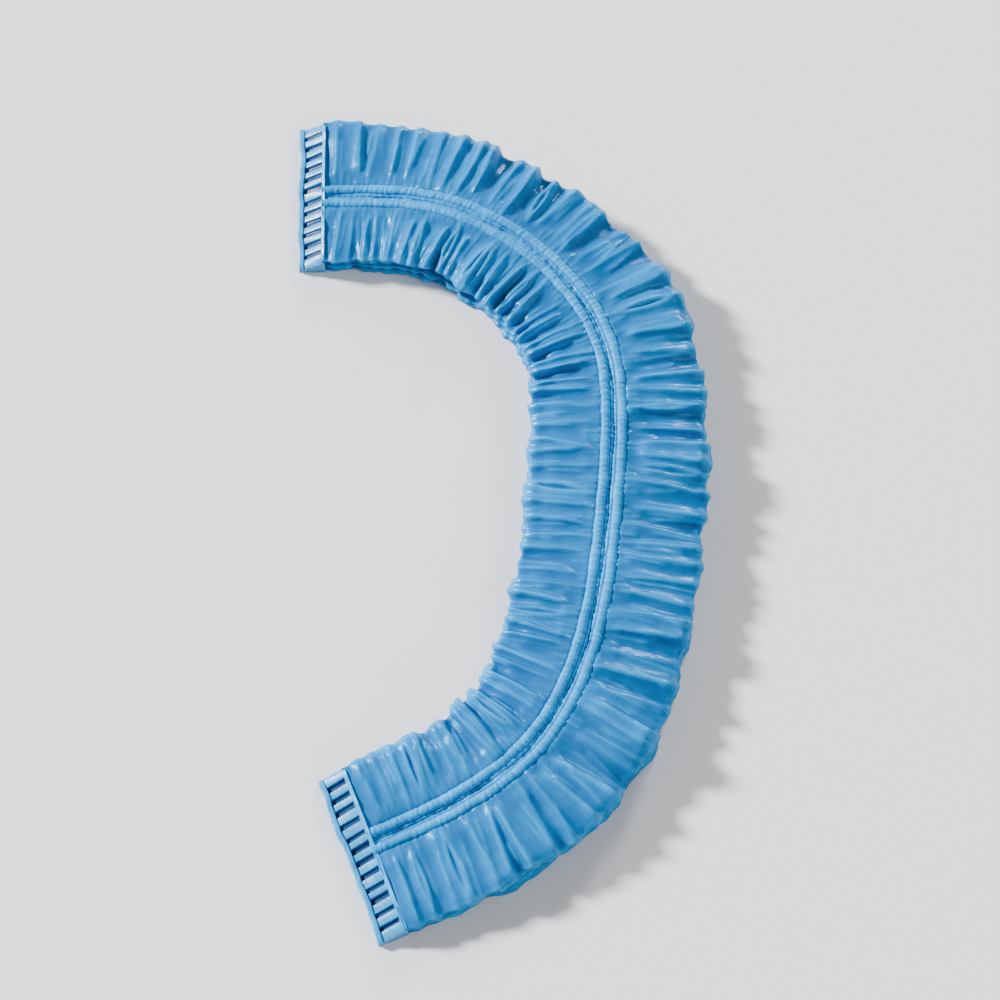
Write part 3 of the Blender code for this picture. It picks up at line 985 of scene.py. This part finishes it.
def press_unevenly(seal, seed):
    """Moves a seal's points a little, as welded film is never quite level or straight."""
    sizes = bpy.context.scene.cap_sizes
    rng = np.random.default_rng(seed)
    places = np.empty(len(seal.data.vertices) * 3)
    seal.data.vertices.foreach_get("co", places)
    x, y, z = places.reshape(-1, 3).T
    level = z.copy()
    lift = np.zeros_like(level)
    shift = np.zeros_like(level)
    for length, height in SEAL_WAVES:
        turn = rng.uniform(-0.6, 0.6)
        phase = rng.uniform(0, FULL_TURN, 2)
        waves = y * math.cos(turn) + x * math.sin(turn)
        lift += height * MM * np.sin(FULL_TURN * waves / length + phase[0])
        shift += height * MM * np.sin(FULL_TURN * y / length + phase[1])

    ramp_ends = (0.0, sizes.rim_length, sizes.seal_length)
    ramp = np.interp(x, ramp_ends, (sizes.comb_foot, sizes.comb_foot, sizes.seal_top))
    proudest, side_crest = 0.2 * MM, -0.2
    proud = np.clip((level - ramp) / proudest, -1.0, 1.0)
    crests = seal.data.attributes.new("crest", "FLOAT", "POINT")
    crests.data.foreach_set("value", np.where(level > 0.8 * ramp, proud, side_crest))

    from_side = np.minimum(y - y.min(), y.max() - y)
    rounded = 1 - 0.16 * np.exp(-from_side / (0.9 * MM)) - 0.05 * np.exp(-from_side / (6 * MM))
    lift_from, shift_to = 1.2 * MM, 4 * MM
    z[:] = np.maximum(z * rounded + lift * np.clip(level / lift_from, 0.0, 1.0), 0.0)
    x += shift * (1 - np.clip(x / shift_to, 0.0, 1.0))
    ply_depth, side_reach, end_reach = 0.09 * MM, 0.05 * MM, 0.25 * MM
    plies = ply_depth * np.cos(math.pi * level / PLY_HEIGHT + 1.5 * np.sin(x / (0.9 * MM)))
    y += np.where(from_side < side_reach, plies * np.sign(y), 0.0)
    x += np.where(x < end_reach, 0.5 * plies, 0.0)
    seal.data.vertices.foreach_set("co", places)
    seal.data.update()


def a_length(name, description, default):
    """A property that holds a length in metres."""
    return bpy.props.FloatProperty(name=name, description=description, default=default, unit="LENGTH")


def a_share(name, description, default):
    """A property that holds a share."""
    return bpy.props.FloatProperty(name=name, description=description, default=default, subtype="FACTOR")


def a_colour(name, description, default):
    """A property that holds a colour."""
    return bpy.props.FloatVectorProperty(name=name, description=description, default=default, subtype="COLOR")


class CapSizes(bpy.types.PropertyGroup):
    """Sizes of the strip that the looks need beside the frame's own boxes."""

    strip_width: a_length("Strip Width", "From outer fold to outer fold at the widest", 0.0335)
    hem_offset: a_length("Hem Offset", "From the strip's middle to the hem line, towards the inside", 0.0012)
    hem_spacing: a_length("Hem Spacing", "Between the two hems' middles", 0.0032)
    hem_thickness: a_length("Hem Thickness", "Thickness of a hem", 0.0016)
    hem_width: a_length("Hem Width", "Width of a hem, a little flattened", 0.0019)
    gusset_reach: a_length("Gusset Reach", "From the hem line to the inner folds", 0.0050)
    puff_run: a_length("Puff Run", "How far from a seal the pressed layers take to puff up", 0.032)
    pressed_flutes: a_share("Pressed Flutes", "How much of their depth the flutes keep at a seal", 0.65)
    film_thickness: a_length("Film Thickness", "Wall of the film, thicker than the real one", 0.00018)
    flute_pitch: a_length("Flute Pitch", "Between neighbouring flutes", 0.0034)
    flute_depth: a_length("Flute Depth", "Height of a deep flute", 0.0014)
    edge_wander: a_length("Edge Wander", "How far the outer folds wander in and out", 0.0007)
    edge_stretch: a_share("Edge Stretch", "How much higher the edges are on a flute than beside it", 0.20)
    tuck: a_length("Tuck", "How far film and hems go on into the seals", 0.0009)
    seal_length: a_length("Seal Length", "From a cut end to the film", 0.0055)
    seal_gap: a_length("Seal Gap", "From a seal to the end of the hem line", 0.0003)
    seal_top: a_length("Seal Top", "Height of a seal beside the film", 0.0047)
    rim_length: a_length("Rim Length", "Length of the rim at a cut end", 0.0010)
    rim_height: a_length("Rim Height", "Height of the rim at a cut end", 0.0018)
    comb_foot: a_length("Comb Foot", "Height of the comb beside the rim", 0.0014)
    weld_line: a_length("Weld Line", "Length of the bar beside the film", 0.0007)
    slot_width: a_length("Slot Width", "Width of a pressed slot", 0.0012)
    slot_pitch: a_length("Slot Pitch", "Between neighbouring slots", 0.0025)
    slot_depth: a_length("Slot Depth", "Depth of a pressed slot", 0.0007)
    mesh_step: a_length("Mesh Step", "Between points along the top flaps", 0.00026)
    hidden_step: a_length("Hidden Step", "Between points along layers that show only at folds", 0.00042)
    hem_step: a_length("Hem Step", "Between points of a hem along it", 0.00021)
    across_step: a_length("Across Step", "Between points across the film", 0.00070)


class CapColours(bpy.types.PropertyGroup):
    """Colours of the cap and the stage."""

    film: a_colour("Film", "Lit film", (0.006, 0.176, 0.470))
    # Painted shade: the film's colour in its valleys
    film_painted_shade: a_colour("Deep Film", "Film in the valleys", (0.006, 0.108, 0.315))
    # Painted highlight on the film's crests, folds and groove and on the hems' gathers; also the pale of the
    # seals where they are cloudy and where they stand proud
    film_pale_and_highlight: a_colour("Pale Film", "Film on the crests", (0.012, 0.345, 0.780))
    hem: a_colour("Hem", "The gathered hems", (0.003, 0.248, 0.595))
    seal: a_colour("Seal", "The pressed seals", (0.020, 0.235, 0.500))
    # Painted shade: near black on the slots' floors, so that they read as dark hollows
    slot: a_colour("Slot", "Floors of the pressed slots", (0.001, 0.036, 0.125))
    floor: a_colour("Floor", "The plain pale floor", (0.82, 0.83, 0.84))


class CAP_OT_film_flaps(bpy.types.Operator):
    """Makes the two fluted top flaps of the film, from the hems round the upper outer folds"""

    bl_idname = "cap.film_flaps"
    bl_label = "Film Flaps"

    def execute(self, context):
        step = context.scene.cap_sizes.mesh_step
        for name, side, seed in (("film_flap_outer", 1, 11), ("film_flap_inner", -1, 12)):
            make_film(name, FLAP_TABLE, side, seed, flap_flutes, step, width=0.030, held="gathered")
        return {"FINISHED"}


class CAP_OT_film_leaves(bpy.types.Operator):
    """Makes the leaves of film that are folded into each side of the strip"""

    bl_idname = "cap.film_leaves"
    bl_label = "Film Leaves"

    def execute(self, context):
        step = context.scene.cap_sizes.hidden_step
        for name, side, seed in (("film_leaves_outer", 1, 21), ("film_leaves_inner", -1, 22)):
            make_film(name, LEAF_TABLE, side, seed, fold_flutes, step, width=0.044, held="folded")
        return {"FINISHED"}


class CAP_OT_film_base(bpy.types.Operator):
    """Makes the lowest layer of the film with its frilled folds"""

    bl_idname = "cap.film_base"
    bl_label = "Film Base"

    def execute(self, context):
        step = context.scene.cap_sizes.hidden_step
        flat = {"width": 0.060, "held": "folded"}
        make_film("film_base", BASE_TABLE, 1, 31, fold_flutes, step, mirrored=True, **flat)
        return {"FINISHED"}


class CAP_OT_hems(bpy.types.Operator):
    """Makes the two gathered elastic hems along the middle of the strip"""

    bl_idname = "cap.hems"
    bl_label = "Elastic Hems"

    def execute(self, context):
        line = HemLine()
        for name, node, side, seed in (
            ("hem_outer", "elastic_hem_outer", 1, 41),
            ("hem_inner", "elastic_hem_inner", -1, 42),
        ):
            hem = hem_tube(name, line, side, seed, node)
            dress(hem, hem_material(), "elastic_hem", node)
        return {"FINISHED"}


class CAP_OT_seals(bpy.types.Operator):
    """Makes the two pressed heat seals at the cut ends of the strip"""

    bl_idname = "cap.seals"
    bl_label = "End Seals"

    def execute(self, context):
        sizes = context.scene.cap_sizes
        line = HemLine()
        for name, node, share, turn, seed in (
            ("seal_back", "end_seal_back", 0.0, 0.0, 51),
            ("seal_front", "end_seal_front", 1.0, math.pi, 52),
        ):
            x, y, heading = (float(value) for value in line.at(np.array(share * line.run)))
            way = heading + turn
            outer = float(reach_to_fold(share, 1))
            inner = float(reach_to_fold(share, -1))
            left, right = (outer, inner) if turn == 0.0 else (inner, outer)
            seal = model_seal(name, left, right, seed)
            back = sizes.seal_length + sizes.seal_gap
            seal.location = (x - math.cos(way) * back, y - math.sin(way) * back, 0.0)
            seal.rotation_euler = (0.0, 0.0, way)
            select_only(seal)
            bpy.ops.object.transform_apply()
            dress(seal, None, "end_seal", node)
        return {"FINISHED"}


class CAP_OT_stage(bpy.types.Operator):
    """Makes the floor, the soft light and the camera"""

    bl_idname = "cap.stage"
    bl_label = "Stage"

    def execute(self, context):
        bpy.ops.object.select_all(action="DESELECT")
        bpy.ops.mesh.primitive_plane_add(size=16.0, location=(0, 0, 0))
        floor = context.active_object
        floor.name = "floor"
        material, _, shader = new_material("pale floor")
        shader.inputs["Base Color"].default_value = (*context.scene.cap_colours.floor, 1.0)
        shader.inputs["Roughness"].default_value = 0.7
        floor.data.materials.append(material)

        world = bpy.data.worlds.new("soft room")
        world.use_nodes = True
        tree = world.node_tree
        background = tree.nodes["Background"]
        background.inputs["Color"].default_value = ROOM_COLOUR
        seen = add_node(tree, "ShaderNodeLightPath").outputs["Is Camera Ray"]
        tree.links.new(map_range(tree, seen, 0.0, 1.0, ROOM_LIGHT, ROOM_SEEN), background.inputs["Strength"])
        context.scene.world = world

        middle = (CAD_LOW + CAD_HIGH) / 2
        for name, place, spread, strength in LIGHTS:
            bpy.ops.object.light_add(type="SUN", location=place)
            light = context.active_object
            light.name = name
            light.data.energy = strength
            light.data.angle = math.radians(spread)
            light.rotation_euler = (middle - Vector(place)).to_track_quat("-Z", "Y").to_euler()

        lift = math.radians(CAMERA_LIFT)
        shown = (CAD_HIGH.y - CAD_LOW.y) * math.sin(lift) / CAMERA_FILL
        away = shown / 2 / math.tan(math.atan(CAMERA_HALF_SENSOR / CAMERA_LENS))
        back = Vector((0.0, -math.cos(lift), math.sin(lift)))
        bpy.ops.object.camera_add(location=middle + back * away)
        camera = context.active_object
        camera.rotation_euler = (-back).to_track_quat("-Z", "Y").to_euler()
        camera.data.lens = CAMERA_LENS
        camera.data.clip_start = 0.01
        context.scene.camera = camera
        return {"FINISHED"}


class CAP_PT_panel(bpy.types.Panel):
    """Lists the steps that dress the cap"""

    bl_idname = "CAP_PT_panel"
    bl_label = "Shower Cap"
    bl_space_type = "VIEW_3D"
    bl_region_type = "UI"
    bl_category = "Shower Cap"

    def draw(self, context):
        for group in (context.scene.cap_sizes, context.scene.cap_colours):
            for name in group.__annotations__:
                self.layout.prop(group, name)
        for step in STEPS:
            self.layout.operator(step.bl_idname)


STEPS = (
    CAP_OT_stage,
    CAP_OT_film_flaps,
    CAP_OT_film_leaves,
    CAP_OT_film_base,
    CAP_OT_hems,
    CAP_OT_seals,
)
CLASSES = (CapSizes, CapColours, *STEPS, CAP_PT_panel)


def register():
    """Registers the classes and the scene's settings."""
    for one in CLASSES:
        bpy.utils.register_class(one)
    bpy.types.Scene.cap_sizes = bpy.props.PointerProperty(type=CapSizes)
    bpy.types.Scene.cap_colours = bpy.props.PointerProperty(type=CapColours)


def unregister():
    """Takes away what register added."""
    del bpy.types.Scene.cap_colours
    del bpy.types.Scene.cap_sizes
    for one in reversed(CLASSES):
        bpy.utils.unregister_class(one)


def main():
    register()
    bpy.ops.cap.stage()
    bpy.ops.cap.film_flaps()
    bpy.ops.cap.film_leaves()
    bpy.ops.cap.film_base()
    bpy.ops.cap.hems()
    bpy.ops.cap.seals()


if __name__ == "__main__":
    main()
